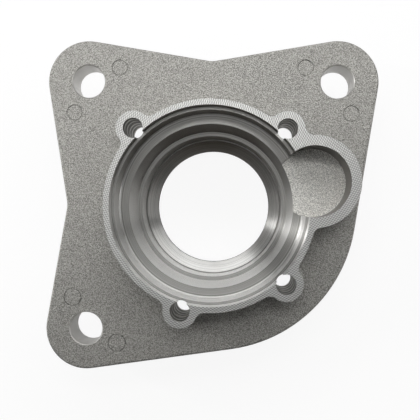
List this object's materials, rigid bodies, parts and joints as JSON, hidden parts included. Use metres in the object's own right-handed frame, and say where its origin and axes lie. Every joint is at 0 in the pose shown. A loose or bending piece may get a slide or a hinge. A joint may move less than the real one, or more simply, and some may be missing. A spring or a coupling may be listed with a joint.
{
  "type": "starter motor end housing",
  "caption": "Cast aluminium end housing: notched flange with corner bolt holes, a raised lugged ring round a stepped bore, an open side pocket and a pilot below.",
  "frame": {"origin": "on the bore axis, at the mounting face under the flange", "axes": "+Z along the bore axis towards the ring face; +X towards the pocket side; +Y towards the edge between the two upper bolt holes"},
  "size_m": [0.1128, 0.1128, 0.0373],
  "materials": {
    "cast_aluminium": "blasted die-cast skin, with milled ring face and turned bores"
  },
  "bodies": {
    "root": {"end_housing": "cast_aluminium"}
  },
  "joints": []
}
